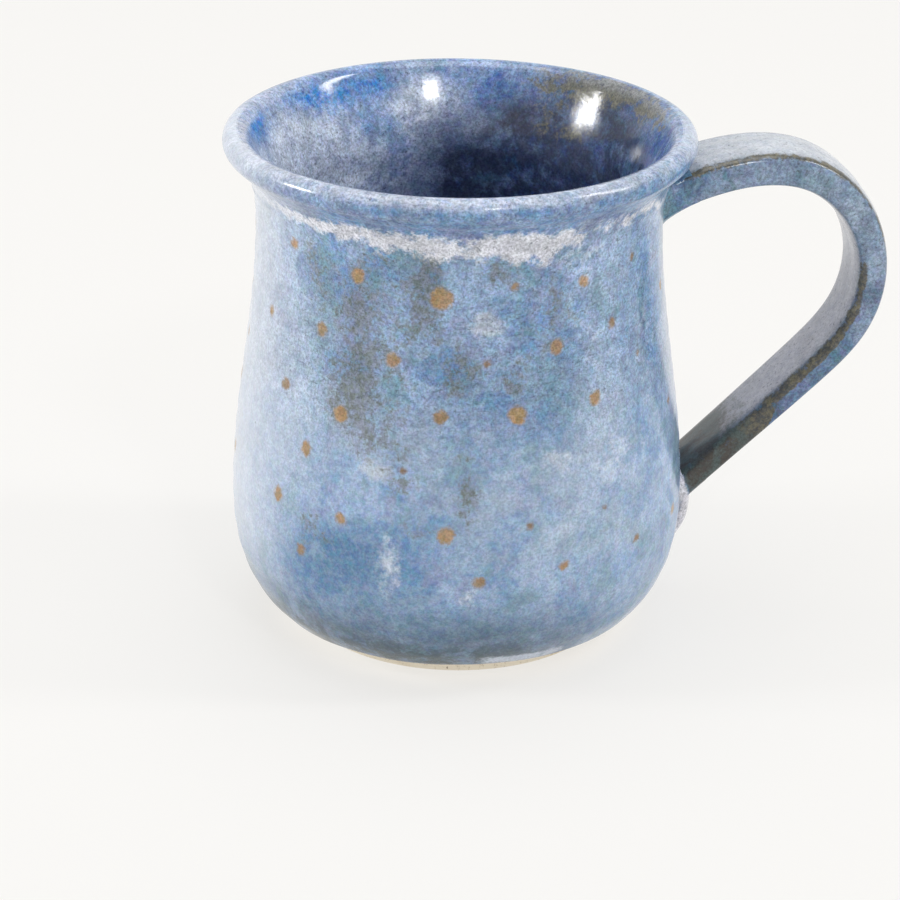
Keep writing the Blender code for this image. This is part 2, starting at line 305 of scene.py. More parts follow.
# (angle in degrees, height in mm, half width in mm, half height in mm, strength)
SMOKE = (
    (-126, 76, 5, 7, 0.85),
    (-121, 66, 4, 6, 0.40),
    (-131, 63, 5, 7, 0.50),
    (-124, 56, 6, 7, 0.48),
    (-117, 50, 5, 4, 0.40),
    (-112, 71, 5, 7, 0.26),
    (-116, 85, 6, 5, 0.34),
    (-112, 60, 6, 6, 0.20),
    (-66, 72, 4, 4, 0.22),
    (-106, 83, 2.8, 7, 0.85),
    (-103, 72, 5, 5, 0.28),
    (-97, 65, 3, 4, 0.60),
    (-139, 78, 4, 7, 0.40),
    (-143, 84, 3, 3, 0.40),
    (-71, 78, 2.2, 6, 0.58),
    (-76, 70, 2.5, 4, 0.30),
    (-88, 85, 3.4, 3, 0.62),
    (-84, 65, 3, 4.5, 0.50),
    (-96, 44, 2.6, 7, 0.62),
    (-112, 44, 4, 3, 0.40),
    (-108, 36, 7, 2.4, 0.40),
    (-137, 33, 7, 5, 0.35),
    (-60, 31, 5, 4, 0.20),
    (20, 70, 7, 10, 0.7),
    (62, 46, 6, 12, 0.8),
    (104, 74, 5, 9, 0.8),
    (140, 52, 7, 9, 0.55),
    (168, 76, 5, 7, 0.7),
    (-176, 40, 6, 7, 0.4),
)
CLOUDS = (
    (-91, 75, 3.4, 3.0, 1.1),
    (-72, 48, 4, 3, 0.9),
    (-119, 46.5, 4, 3, 0.95),
    (-115, 29, 3.4, 9, 0.68),
    (-52, 46, 8, 7, 0.55),
    (-95, 23, 3, 2.4, 0.7),
    (-82, 6.0, 6, 1.8, 1.1),
    (-70, 6.4, 4, 1.3, 0.8),
    (-63, 86, 8, 4, 0.6),
    (-101, 57, 6, 5, 0.30),
    (-131, 68, 3, 3, 0.35),
    (-85, 33, 12, 7, 0.30),
    (-68, 72, 4, 4, 0.30),
    (-38, 66, 4, 26, 0.45),
    (-58, 66, 5, 12, 0.35),
    (30, 40, 7, 6, 0.8),
    (58, 76, 6, 5, 0.8),
    (88, 30, 7, 8, 0.7),
    (120, 64, 6, 7, 0.7),
    (150, 34, 8, 6, 0.8),
    (178, 62, 6, 8, 0.6),
)
DEEPS = (
    (-44, 76, 5, 12, 0.5),
    (-42, 55, 4, 12, 0.35),
    (-96, 62, 8, 9, 0.35),
    (-72, 60, 8, 8, 0.45),
    (-120, 30, 9, 7, 0.75),
    (-135, 26, 10, 7, 0.80),
    (-104, 16, 18, 5, 0.45),
    (-70, 13, 16, 3, 0.3),
    (40, 66, 12, 14, 0.5),
    (80, 56, 14, 10, 0.55),
    (125, 36, 12, 10, 0.6),
    (155, 70, 10, 12, 0.5),
)
# Milky, even and hardly ragged
MILKY = (
    (-140, 50, 12, 14, 0.95),
    (-56, 40, 14, 18, 0.65),
    (-80, 36, 14, 10, 0.40),
    (-60, 60, 7, 10, 0.60),
    (-104, 52, 10, 5, 0.45),
    (-92, 46, 22, 8, 0.45),
    (-64, 24, 14, 9, 0.45),
    (-134, 52, 9, 7, 0.75),
    (-140, 72, 8, 14, 0.40),
    (-50, 82, 6, 6, 0.35),
    (50, 60, 14, 14, 0.5),
    (110, 46, 12, 16, 0.5),
    (160, 60, 12, 16, 0.5),
)
# (angle in degrees, height in mm, radius in mm, darkness from amber to iron brown)
SPOTS = (
    (-149, 85, 1.2, 0.1),
    (-126, 82.5, 1.45, 0.15),
    (-102.5, 80, 2.15, 0.1),
    (-83, 82, 0.9, 0.5),
    (-62, 81, 1.3, 0.1),
    (-137.5, 70.5, 1.35, 0.2),
    (-115.5, 67.5, 1.5, 0.15),
    (-90.5, 67.5, 0.9, 0.7),
    (-71, 69.5, 1.5, 0.45),
    (-52, 71, 1.0, 0.55),
    (-149.5, 57.5, 1.3, 0.4),
    (-129.5, 55.5, 1.65, 0.05),
    (-102.5, 57.5, 1.45, 0.25),
    (-82.5, 57.5, 1.85, 0.0),
    (-59.5, 58, 1.4, 0.15),
    (-139.5, 47, 1.35, 0.15),
    (-111.5, 47, 0.65, 0.8),
    (-148.5, 36, 1.4, 0.1),
    (-127.5, 35.5, 1.25, 0.15),
    (-139.5, 27, 1.2, 0.45),
    (-100.5, 35, 1.75, 0.05),
    (-92.5, 25.5, 1.3, 0.3),
    (-70.5, 27, 1.05, 0.3),
    (-80, 36, 0.7, 0.6),
    (-58.5, 36.5, 0.7, 0.6),
    (-47, 27.5, 0.9, 0.6),
    (-160, 69.5, 0.9, 0.1),
    (-43, 82.5, 0.9, 0.9),
    (-41.5, 63, 0.8, 0.7),
)


def gap_from(angle, degrees):
    """Signed difference of an angle in radians from one in degrees, within half a turn, in radians."""
    return (angle - math.radians(degrees) + math.pi) % TURN - math.pi


def blobs(angle, height, radius, places):
    """Soft patches from 0 to 1: each a bell of distance over half sizes, bent by slow waves, added up."""
    bent = 0.35 * waves(angle, height, 11, terms=12, across=14, tall=260.0)
    total = np.zeros(np.broadcast(angle, height).shape)
    for turn, tall, half_width, half_height, strength in places:
        across = gap_from(angle, turn) * radius / (half_width * MM)
        up = (height - tall * MM) / (half_height * MM)
        total += strength * np.exp(-0.9 * np.maximum(np.hypot(across, up) + bent, 0) ** 2.4)
    return np.clip(total, 0, 1)


def with_back(marks, rows, back_first):
    """The marks with plain rows added for the hidden back of a coat, where no spot is near."""
    whole = {}
    for key, values in marks.items():
        plain = np.full((rows, COLUMNS), SPOT_REACH if key == "spot" else 0.0)
        whole[key] = np.concatenate([plain, values] if back_first else [values, plain])
    return whole


def back_spots():
    """Iron spots round the back, where each row of the front's pattern carries on at uneven steps."""
    random = np.random.default_rng(29)
    found = []
    for row, height in enumerate(range(27, 88, 11)):
        for step in range(9):
            turn = -22 + 24 * step + 12 * (row % 2) + random.uniform(-5, 5)
            radius = random.uniform(0.8, 1.7)
            found.append((turn, height + random.uniform(-2.5, 2.5), radius, random.uniform(0, 0.5)))
    return [spot for spot in found if not (abs(spot[0]) < 17 and (spot[1] < 34 or spot[1] > 74))]


def spot_marks(angle, height, radius, spots):
    """Millimetres from the nearest spot's edge, below zero inside, and that spot's darkness."""
    shape = np.broadcast(angle, height).shape
    nearest = np.full(shape, SPOT_REACH)
    darkness = np.zeros(shape)
    for turn, tall, size, dark in spots:
        across = gap_from(angle, turn) * radius / MM
        away = np.hypot(across, (height / MM - tall) * 0.94) - size
        darkness = np.where(away < nearest, dark, darkness)
        nearest = np.minimum(away, nearest)
    return nearest, darkness


# ---- The cup


def make_outer_coat():
    """The outer glaze: the clay's outline pushed off by the coat, with rings, swell, drips, rolled edges.

    The coat starts from nothing at the foot and sinks into the liner just inside the lip's crest.
    """
    line = outside_line(212, GLAZE_LINE, COAT_END)
    lip_rows = 30
    angle = angles_round(COLUMNS)
    height = line[:, 1][:, None]
    radius = line[:, 0][:, None]
    inside_lip = (np.arange(len(line))[:, None] > len(line) - lip_rows) * (radius < LIP_CENTRE_RADIUS)
    past_crest = ease((LIP_CENTRE_RADIUS - radius) / (1.1 * MM)) * inside_lip
    low_edge = ease((height - FOOT_HEIGHT) / (2.2 * MM))
    near_lip = 1 - ease((height - (HEIGHT - 12 * MM)) / (8 * MM))
    body = low_edge * near_lip
    drip = bell(height - drip_height(angle), 1.6 * MM)
    full = COAT * np.sqrt(np.clip((height - line[0, 1]) / (0.9 * MM), 0, 1))
    swell = (
        0.085 * MM * throwing_rings(angle, height)
        + 0.10 * MM * waves(angle, height, 7, across=3, tall=50.0)
        + 0.05 * MM * waves(angle, height, 8, terms=14, across=40, tall=900.0)
        - 0.10 * MM
    )
    push = full + swell * body + 0.13 * MM * near_lip * drip - lip_wear(angle) * (1 - near_lip)
    push = push - 0.22 * MM * past_crest
    normal = normals_of(line)
    front = revolved(line, angle, push * normal[:, 1][:, None], push * normal[:, 0][:, None])
    edge_wave = 0.35 * MM * waves(angle, 0.0, 21, terms=10, across=11)
    front[..., 2] += edge_wave * np.exp(-((height - line[0, 1]) / (1.2 * MM)))
    back_line = offset(line[::12][::-1], UNDER_COAT)
    back_fade = np.exp(-((back_line[:, 1][:, None] - line[0, 1]) / (1.2 * MM)))
    back = revolved(back_line, angle, edge_wave * back_fade)
    rings = np.concatenate([front, back])
    marks = cup_marks(angle, height, radius, len(back_line))
    return closed_tube("outer_glaze_coat", rings, marks, poles=False)


def lip_pallor(angle):
    """How pale the lip broke: most in front and away from the handle, least at the back."""
    lean = 0.54 - 0.6 * np.sin(angle) - 0.36 * np.cos(angle)
    return 0.28 + 0.72 * ease(lean + 0.25 * waves(angle, 0.0, 19, terms=8, across=12))


def lip_wear(angle):
    """How far the coat thins on the lip, unevenly round it."""
    return 0.10 * MM * (0.5 + 0.5 * waves(angle, 0.0, 9, across=6))


def drip_height(angle):
    """Lower edge of the thick glaze under the rim: a level band with a few slow drips."""
    far_side = gap_from(angle, -137)
    return (
        DRIP_LINE
        + 2.1 * MM * ease(0.5 + 0.5 * np.cos(far_side * 1.6)) * (np.abs(far_side) < 1.9)
        - 0.8 * MM * bell(gap_from(angle, -86), 0.34)
        + 2.6 * MM * bell(gap_from(angle, -48), 0.28)
        + 0.9 * MM * waves(angle, 0.0 * angle, 31, terms=12, across=17)
    )


def band_strength(angle):
    """How full the pale band is: whole in front and at the side away from the handle, thin in between."""
    front = bell(gap_from(angle, -86), 0.32)
    side = bell(gap_from(angle, -145), 0.40)
    back = bell(gap_from(angle, 80), 0.90)
    return np.clip(0.50 + 0.55 * front + 0.40 * side + 0.40 * back, 0, 1)


def painted_side_reflection(angle, height):
    """Painted reflection of the bright room, pale and smooth: down the side away from the handle and down the
    side beside the handle.
    """
    away = np.abs(gap_from(angle, -176))
    ragged = 0.13 * waves(angle, height, 23, terms=12, across=13, tall=170.0)
    beside = np.abs(gap_from(angle, -12) + ragged)
    far_side = 1 - ease((away - 0.14) / 0.58)
    near_side = 0.65 * (1 - ease((beside - 0.05) / 0.30)) * ease((height - 30 * MM) / (25 * MM))
    return np.clip(far_side + near_side, 0, 1) * ease((height - 8 * MM) / (20 * MM))


def heel_side(angle):
    """1 on the side of the heel that fired dark, away from the handle, and 0 on the other."""
    return ease(0.5 + 0.9 * np.cos(gap_from(angle, -150)))


def cup_marks(angle, height, radius, back_rows):
    """The glaze's attributes on the outside of the cup, with plain values for the coat's hidden back."""
    band_top = drip_height(angle)
    below_crest = 1 - ease((height - HEIGHT + 1.6 * MM) / (1.0 * MM))
    thick = (1.5 + 1.3 * bell(gap_from(angle, -84), 0.55)) * MM
    band = bell(height - band_top, thick) * band_strength(angle)
    runs = bell(np.minimum(height - band_top, 0), 3.4 * MM) * (height < band_top)
    runs = runs * ease(waves(angle, 0.2 * height, 33, terms=14, across=44) * 1.5 + 0.15)
    spot, dark = spot_marks(angle, height, radius, SPOTS + tuple(back_spots()))
    brink = bell(height - height[0] - 0.5 * MM, 0.9 * MM) * heel_side(angle)
    marks = {
        "smoke": np.clip(blobs(angle, height, radius, SMOKE) + 0.8 * brink, 0, 1),
        "cloud": blobs(angle, height, radius, CLOUDS),
        "deep": blobs(angle, height, radius, DEEPS),
        "milky": blobs(angle, height, radius, MILKY),
        "band": np.clip(band + 0.75 * runs, 0, 1),
        "collar": ease((height - band_top) / (1.5 * MM)) * below_crest,
        "thin": ease((height - HEIGHT + 1.7 * MM) / (1.2 * MM)) * lip_pallor(angle),
        "busy": ease((height - 44 * MM) / (20 * MM)) + 0 * angle,
        # painted reflection of the bright room, pale down two sides of the cup
        "side_reflection": painted_side_reflection(angle, height),
        "heel": (1 - ease((height - 5 * MM) / (19 * MM))) * (0.06 + 0.94 * heel_side(angle)),
        "spot": spot,
        "dark": dark,
    }
    return with_back(marks, back_rows, back_first=False)


# inside of the cup: (angle in degrees, height in mm, half width in mm, half height in mm, strength)
PALE_INSIDE = (
    (142, 90, 16, 10, 1.0),
    (122, 82, 12, 9, 0.95),
    (160, 78, 14, 14, 0.9),
    (97, 93, 9, 4, 0.6),
    (88, 95, 7, 3, 0.30),
    (96, 84, 5, 12, 0.45),
    (80, 88, 6, 6, 0.30),
    (175, 92, 8, 6, 0.8),
)
COBALT_INSIDE = (
    (124, 96.5, 8, 3.5, 1.0),
    (106, 97, 5, 3, 0.7),
    (163, 97, 9, 2.4, 1.0),
    (138, 98, 5, 2, 0.6),
    (112, 90, 5, 3, 0.5),
    (75, 96, 10, 4, 0.35),
)
OLIVE_INSIDE = (
    (34, 98.5, 10, 2.4, 0.85),
    (55, 98, 6, 2.2, 0.6),
    (12, 98, 8, 2.5, 0.8),
    (48, 92, 8, 5, 0.35),
    (-70, 95, 9, 3, 0.7),
)
NAVY_INSIDE = (
    (47, 82, 24, 14, 1.0),
    (75, 74, 16, 12, 0.85),
    (20, 76, 20, 18, 0.95),
    (32, 89, 12, 8, 0.55),
    (0, 60, 26, 24, 0.8),
    (60, 50, 30, 24, 0.8),
)
SPOTS_INSIDE = (
    (60, 60, 1.2, 0.2),
    (110, 40, 1.4, 0.2),
    (-20, 50, 1.3, 0.3),
    (-110, 66, 1.2, 0.2),
    (150, 66, 1.1, 0.3),
)


def make_liner():
    """The liner glaze: the clay's inside outline pushed off by the coat, down to the floor's middle."""
    line = inside_line(150)
    line[-1, 0] = POLE_RADIUS
    angle = angles_round(COLUMNS)
    height = line[:, 1][:, None]
    radius = line[:, 0][:, None]
    body = ease((HEIGHT - 7 * MM - height) / (10 * MM)) * ease(radius / (12 * MM))
    push = (
        COAT
        + 0.10 * MM * body * throwing_rings(angle, height * 0.8)
        + 0.08 * MM * body * waves(angle, height, 17, across=3, tall=50.0)
        - lip_wear(angle) * (1 - ease((HEIGHT - 4 * MM - height) / (4 * MM)))
    )
    normal = normals_of(line)
    front = revolved(line, angle, push * normal[:, 1][:, None], push * normal[:, 0][:, None])
    floor_spiral = 0.12 * MM * np.sin(TURN * radius / (4.0 * MM) + angle)
    floor_spiral = floor_spiral * ease(1 - radius / (24 * MM)) * ease(radius / (3 * MM))
    front[..., 2] += floor_spiral * (height < FLOOR + 1.5 * MM)
    back_line = offset(line[::10], UNDER_COAT)
    back_line[-1, 0] = POLE_RADIUS
    rings = np.concatenate([revolved(back_line, angle)[::-1], front])
    spot, dark = spot_marks(angle, height, radius, SPOTS_INSIDE)
    marks = {
        "smoke": blobs(angle, height, radius, OLIVE_INSIDE),
        "cloud": 0.75 * blobs(angle, height, radius, PALE_INSIDE),
        "milky": blobs(angle, height, radius, PALE_INSIDE),
        "deep": blobs(angle, height, radius, COBALT_INSIDE),
        "navy": blobs(angle, height, radius, NAVY_INSIDE),
        "thin": ease((height - HEIGHT + 2.0 * MM) / (1.6 * MM)) * lip_pallor(angle),
        "spot": spot,
        "dark": dark,
    }
    return closed_tube("liner_glaze_coat", rings, with_back(marks, len(back_line), back_first=True))



def make_clay_body():
    """The thrown clay: foot, outside, lip and inside in one outline, with turning marks under the base."""
    outside = outside_line(120)
    inside = inside_line(100)[1:]
    inside[-1, 0] = 0.3 * MM
    bevel = np.linspace(0, math.pi / 2, 6)
    foot = np.column_stack([FOOT_RADIUS - FOOT_BEVEL * (1 - np.sin(bevel)), FOOT_BEVEL * (1 - np.cos(bevel))])
    base_radii = np.linspace(0.3 * MM, FOOT_RADIUS - FOOT_BEVEL, 70)[:-1]
    base = np.column_stack([base_radii, 0 * base_radii])
    line = np.vstack([base, foot, [(FOOT_RADIUS, FOOT_HEIGHT * 0.6)], outside, inside])
    angle = angles_round(256)
    radius = line[:, 0][:, None]
    is_base = np.arange(len(line))[:, None] < len(base)
    away = np.hypot(radius * np.cos(angle) - 9 * MM, radius * np.sin(angle) + 31 * MM)
    wire = 0.5 + 0.5 * np.sin(TURN * away / (1.7 * MM) + 2.0 * waves(angle, radius * 2, 41, across=3))
    rim_fade = ease((FOOT_RADIUS - 1.5 * MM - radius) / (1.5 * MM))
    hollow = is_base * rim_fade * (0.05 * MM + 0.12 * MM * wire)
    return closed_tube("thrown_clay_body", revolved(line, angle, hollow))


# ---- The handle


def smooth_route(points, count=600):
    """A natural cubic spline through the points, by the distance between them, at count even distances."""
    steps = np.linalg.norm(np.diff(points, axis=0), axis=1)
    knots = np.append(0, np.cumsum(steps))
    size = len(points)
    system = np.eye(size)
    bends = np.zeros((size, 2))
    for i in range(1, size - 1):
        system[i, i - 1 : i + 2] = steps[i - 1], 2 * (steps[i - 1] + steps[i]), steps[i]
        change = np.diff(points[i - 1 : i + 2], axis=0) / steps[i - 1 : i + 1, None]
        bends[i] = 6 * (change[1] - change[0])
    curvature = np.linalg.solve(system, bends)
    place = np.linspace(0, knots[-1], count)
    i = np.clip(np.searchsorted(knots, place, side="right") - 1, 0, size - 2)
    gap = steps[i, None]
    after = (place - knots[i])[:, None]
    before = gap - after
    return (
        (curvature[i] * before**3 + curvature[i + 1] * after**3) / (6 * gap)
        + (points[i] / gap - curvature[i] * gap / 6) * before
        + (points[i + 1] / gap - curvature[i + 1] * gap / 6) * after
    )


def strap_line():
    """The strap's middle line in the plane of X and Z, from wall to wall, and the distances along it."""
    span = UPPER_JOINT - LOWER_JOINT
    route = [(float(outer_radius(UPPER_JOINT)), UPPER_JOINT)]
    route += [(BELLY_RADIUS + HANDLE_REACH * out, LOWER_JOINT + span * up) for out, up in STRAP_ROUTE]
    route.append((float(outer_radius(LOWER_JOINT)), LOWER_JOINT))
    line = smooth_route(np.array(route))
    return line, np.append(0, np.cumsum(np.linalg.norm(np.diff(line, axis=0), axis=1)))


STRAP_POINTS, STRAP_PLACES = strap_line()
STRAP_LENGTH = float(STRAP_PLACES[-1])


def strap_frame(places):
    """Middle points at these distances, and unit vectors along the strap and off its outer face."""
    start = STRAP_POINTS[0] - STRAP_POINTS[1]
    end = STRAP_POINTS[-1] - STRAP_POINTS[-2]
    points = np.column_stack([np.interp(places, STRAP_PLACES, STRAP_POINTS[:, k]) for k in (0, 1)])
    points += np.maximum(-places, 0)[:, None] * start / np.linalg.norm(start)
    points += np.maximum(places - STRAP_LENGTH, 0)[:, None] * end / np.linalg.norm(end)
    ahead = np.gradient(STRAP_POINTS, axis=0)
    along = np.column_stack([np.interp(places, STRAP_PLACES, ahead[:, k]) for k in (0, 1)])
    along /= np.linalg.norm(along, axis=1)[:, None]
    zero = np.zeros(len(places))
    return (
        np.column_stack([points[:, 0], zero, points[:, 1]]),
        np.column_stack([along[:, 0], zero, along[:, 1]]),
        np.column_stack([-along[:, 1], zero, along[:, 0]]),
    )


def section(turn, power=STRAP_SQUARENESS):
    """Rounded rectangle from -1 to 1 both ways: signed powers of the cosine and the sine."""
    across = np.sign(np.cos(turn)) * np.abs(np.cos(turn)) ** (2 / power)
    outward = np.sign(np.sin(turn)) * np.abs(np.sin(turn)) ** (2 / power)
    return across, outward


def section_turns(count):
    """Angles round the section that space its points evenly along the rounded rectangle."""
    turn = np.linspace(0, TURN, 20001)
    across, outward = section(turn)
    along = np.append(0, np.cumsum(np.hypot(np.diff(across * 2.6), np.diff(outward))))
    return np.interp(np.linspace(0, along[-1], count, endpoint=False), along, turn)


def half_sizes(share):
    """Half the bare strap's width and thickness at this share of its length."""
    return (
        (STRAP_WIDTH[0] + (STRAP_WIDTH[1] - STRAP_WIDTH[0]) * share) / 2,
        (STRAP_THICKNESS[0] + (STRAP_THICKNESS[1] - STRAP_THICKNESS[0]) * share) / 2,
    )


def strap_rings(places, turn, growth):
    """Middle points, the way off the outer face, and how far rounded rectangles reach across and off it."""
    half_width, half_thickness = half_sizes(np.clip(places / STRAP_LENGTH, 0, 1))
    middle, _, off = strap_frame(places)
    across, outward = section(turn)
    growth = np.broadcast_to(growth, places.shape)
    wide = (half_width + growth)[:, None] * across
    thick = (half_thickness + growth)[:, None] * outward
    return middle, off, wide, thick


def placed(middle, off, wide, thick):
    """Points this far across the strap and off its middle line."""
    return middle[:, None] + thick[..., None] * off[:, None] + wide[..., None] * np.array([0, 1, 0])


def make_strap_coat():
    """The handle's glaze: the strap's rings grown by the coat, with pulling grooves and an uneven hand.

    Its marks go by the share of the strap's length from the top, and by mm from its sides and two faces.
    """
    turn = section_turns(112)
    places = np.linspace(-STRAP_OVERLAP, STRAP_LENGTH + STRAP_OVERLAP, 300)
    middle, off, wide, thick = strap_rings(places, turn, COAT - 0.1 * MM)
    share = (places / STRAP_LENGTH)[:, None]
    across, outward = section(turn)
    face = np.abs(outward) ** 3 * np.sign(outward)
    outer_side = 0.5 + 0.5 * np.sign(outward)
    grooves = 0.07 * MM * np.sin(across * 9 + 1.2 * waves(share * 9, share, 51, across=2)) * (1 - across**6)
    grooves = grooves * (0.25 + 0.75 * outer_side)
    crown = 0.28 * MM * (1 - across**2) - 0.20 * MM
    hand = 0.10 * MM * waves(share * 6, across[None, :] * 0.3, 52, across=4, tall=3.0)
    thick = thick + face * (grooves + crown) + np.sign(outward) * np.abs(outward) * hand
    wide = wide + 0.32 * MM * across * np.abs(across) ** 8 * (1 - outward**2) - 0.10 * MM * across
    wide = wide + 0.10 * MM * across * waves(share * 7, outward[None, :] * 0.3, 53, across=4, tall=3.0)
    rings = placed(middle, off, wide, thick)
    half_width, half_thickness = half_sizes(share)
    from_side = (half_width + COAT - np.abs(wide)) / MM
    from_outer = (half_thickness + COAT - thick) / MM
    from_inner = (half_thickness + COAT + thick) / MM
    on_side = bell(from_side, 1.15)
    upper = 1 - ease((share - 0.36) / 0.14)
    lower = ease((share - 0.40) / 0.10)
    near_side = 0.35 + 0.65 * (across < 0)
    rim_width = 0.55 + 0.60 * (1 - ease(share / 0.30))
    rim_line = 1.3 * bell(from_outer - 0.35, rim_width)
    rim_line = rim_line * np.sqrt(on_side) * upper * near_side
    reach = 1.3 + 0.5 * ease((share - 0.44) / 0.26) + 4.2 * ease((share - 0.74) / 0.12)
    belt = on_side * (1 - ease((from_inner - reach) / 0.8)) * lower
    end_mark = ease((share - 0.755) / 0.19)
    inner_face = (1 - ease((from_inner - 0.5) / 0.7)) * (1 - on_side)
    outer_face = (1 - ease((from_outer - 0.5) / 0.7)) * (1 - on_side)
    marks = {
        "smoke": np.clip(rim_line + belt, 0, 1),
        "foot_end": np.clip(end_mark * (on_side + 0.9 * inner_face), 0, 1),
        "milky": on_side * bell(share - 0.36, 0.13),
        "inner_face": inner_face,
        "outer_face": outer_face,
        # painted shade: darker along the two corners of the strap's side faces
        "edge": np.clip(np.sqrt(on_side) * (bell(from_outer, 0.6) + bell(from_inner, 0.6)), 0, 1),
    }
    return closed_tube("strap_glaze_coat", rings, marks)


def make_strap_core():
    """The pulled clay inside the coat: plain rings of the bare strap, from wall to wall."""
    turn = section_turns(64)
    places = np.linspace(-0.6 * MM, STRAP_LENGTH + 0.6 * MM, 160)
    return closed_tube("pulled_strap_clay", placed(*strap_rings(places, turn, 0.0)))


def glazed_radius(height):
    """Radius of the glaze at this height: the clay's, pushed off by the coat along its slope."""
    step = 0.05 * MM
    slope = (outer_radius(height + step) - outer_radius(height - step)) / (2 * step)
    return outer_radius(height) + COAT * np.sqrt(1 + slope**2)


def on_wall(across, height, proud):
    """Points over the glazed wall at these places, this far proud of it: x = sqrt((R + proud)^2 - y^2)."""
    radius = glazed_radius(height) + proud
    return np.stack([np.sqrt(radius**2 - across**2), across + 0 * height, height + 0 * across], -1)


def blend(start, leaving, end, arriving, share):
    """Hermite curve between two points, from one tangent to the other."""
    s = share[:, None, None]
    return (
        (2 * s**3 - 3 * s**2 + 1) * start
        + (s**3 - 2 * s**2 + s) * leaving
        + (3 * s**2 - 2 * s**3) * end
        + (s**3 - s**2) * arriving
    )


def skirt(reach, is_upper, footprint, centre, pull, turn, lumps):
    """Luting clay: curves that leave the strap along it and arrive flat on the wall, round a footprint."""
    place = np.array([reach if is_upper else STRAP_LENGTH - reach])
    start = placed(*strap_rings(place, turn, COAT - 0.16 * MM))
    _, along, _ = strap_frame(place)
    towards = -along if is_upper else along
    across, outward = section(turn, 3.4)
    up = outward if is_upper else -outward
    half_width, half_above, half_below = footprint
    foot_across = half_width * across
    foot_height = centre + np.where(up > 0, half_above, half_below) * up
    end = on_wall(foot_across, foot_height, -0.22 * MM)[None]
    nudge = 0.5 * MM
    further = on_wall(foot_across + nudge * across, foot_height + nudge * up, -0.24 * MM)[None]
    arriving = (further - end) / nudge * (0.5 * reach)
    share = np.linspace(0, 1, 44)
    leaving = towards[:, None] * (pull * reach) + 0 * start
    rings = blend(start, leaving, end, arriving, share)
    outwards = rings - rings.mean(1, keepdims=True)
    outwards /= np.linalg.norm(outwards, axis=-1, keepdims=True)
    swell = np.sin(math.pi * share)[:, None, None] ** 2
    bumps = waves(turn[None, :], share[:, None] * 0.01, lumps, terms=10, across=7, tall=400.0)
    return rings + outwards * swell * (0.12 * MM * bumps)[..., None]


def joint_marks(rings, slip, burnt):
    """Attributes of a joint: the strap's own colour where it starts, then pale worked slip on the wall."""
    rows, columns, _ = rings.shape
    share = np.linspace(0, 1, rows)[:, None] + np.zeros((1, columns))
    return {
        "cloud": slip * bell(share - 0.72, 0.20),
        "deep": 0.5 * bell(share - 0.15, 0.2),
        "foot_end": burnt * (1 - ease((share - 0.40) / 0.22)),
    }


def make_upper_joint():
    """The upper joint: a fillet from the strap to the neck and the underside of the flare."""
    turn = section_turns(96)
    rings = skirt(6.2 * MM, True, (10.0 * MM, 5.2 * MM, 6.2 * MM), UPPER_JOINT, 0.75, turn, 61)
    return closed_tube("upper_joint_clay", rings, joint_marks(rings, 0.15, 0.0))


def make_lower_joint():
    """The lower joint: a fillet from the strap to the belly, and the tongue smeared down below it."""
    turn = section_turns(96)
    rings = skirt(5.6 * MM, False, (8.0 * MM, 4.6 * MM, 4.6 * MM), LOWER_JOINT, 0.7, turn, 62)
    collar = closed_tube("lower_joint_clay", rings, joint_marks(rings, 1.25, 1.0))
    down = np.linspace(0, 1, 70)[:, None]
    side = angles_round(72)
    top = LOWER_JOINT + 1.0 * MM
    height = top + (TAIL_END - 0.8 * MM - top) * down
    half_width = 7.6 * MM - 3.9 * MM * ease(down) - 2.6 * MM * ease((down - 0.8) / 0.2)
    proud = TAIL_PROUD * (1 - ease((down - 0.42) / 0.58)) ** 0.8 * (0.85 + 0.15 * np.sin(math.pi * down))
    dent = 0.35 * MM * bell(down - 0.45, 0.2) * bell(np.cos(side), 0.4)
    rise = np.sin(side)
    sunk = 0.25 * MM
    above = (proud - dent) * np.maximum(rise, 0) ** 0.8 - sunk * (1 - np.abs(rise))
    over = np.where(rise > 0, above, -0.9 * MM * np.abs(rise) - sunk)
    tongue_rings = on_wall(half_width * np.cos(side), height, over)
    bare = 0 * over
    tongue_marks = {"cloud": 1.1 * ease(0.55 + 1.2 * rise) + bare, "deep": bare, "foot_end": bare}
    tongue = closed_tube("lower_joint_tongue", tongue_rings, tongue_marks)
    return collar, tongue


# ---- Materials


def srgb(code):
    """A hex colour as linear red, green, blue and alpha."""
    parts = [int(code[i : i + 2], 16) / 255 for i in (1, 3, 5)]
    return tuple(p / 12.92 if p <= 0.04045 else ((p + 0.055) / 1.055) ** 2.4 for p in parts) + (1.0,)


def add(tree, kind, settings=None, **inputs):
    """Adds a node. settings are its own properties, and inputs are sockets by name or number, as i0, i1."""
    node = tree.nodes.new(kind)
    for key, value in (settings or {}).items():
        setattr(node, key, value)
    for key, value in inputs.items():
        socket = node.inputs[int(key[1:])] if key[1:].isdigit() else node.inputs[key.replace("_", " ")]
        if isinstance(value, bpy.types.NodeSocket):
            tree.links.new(value, socket)
        else:
            socket.default_value = value
    return node


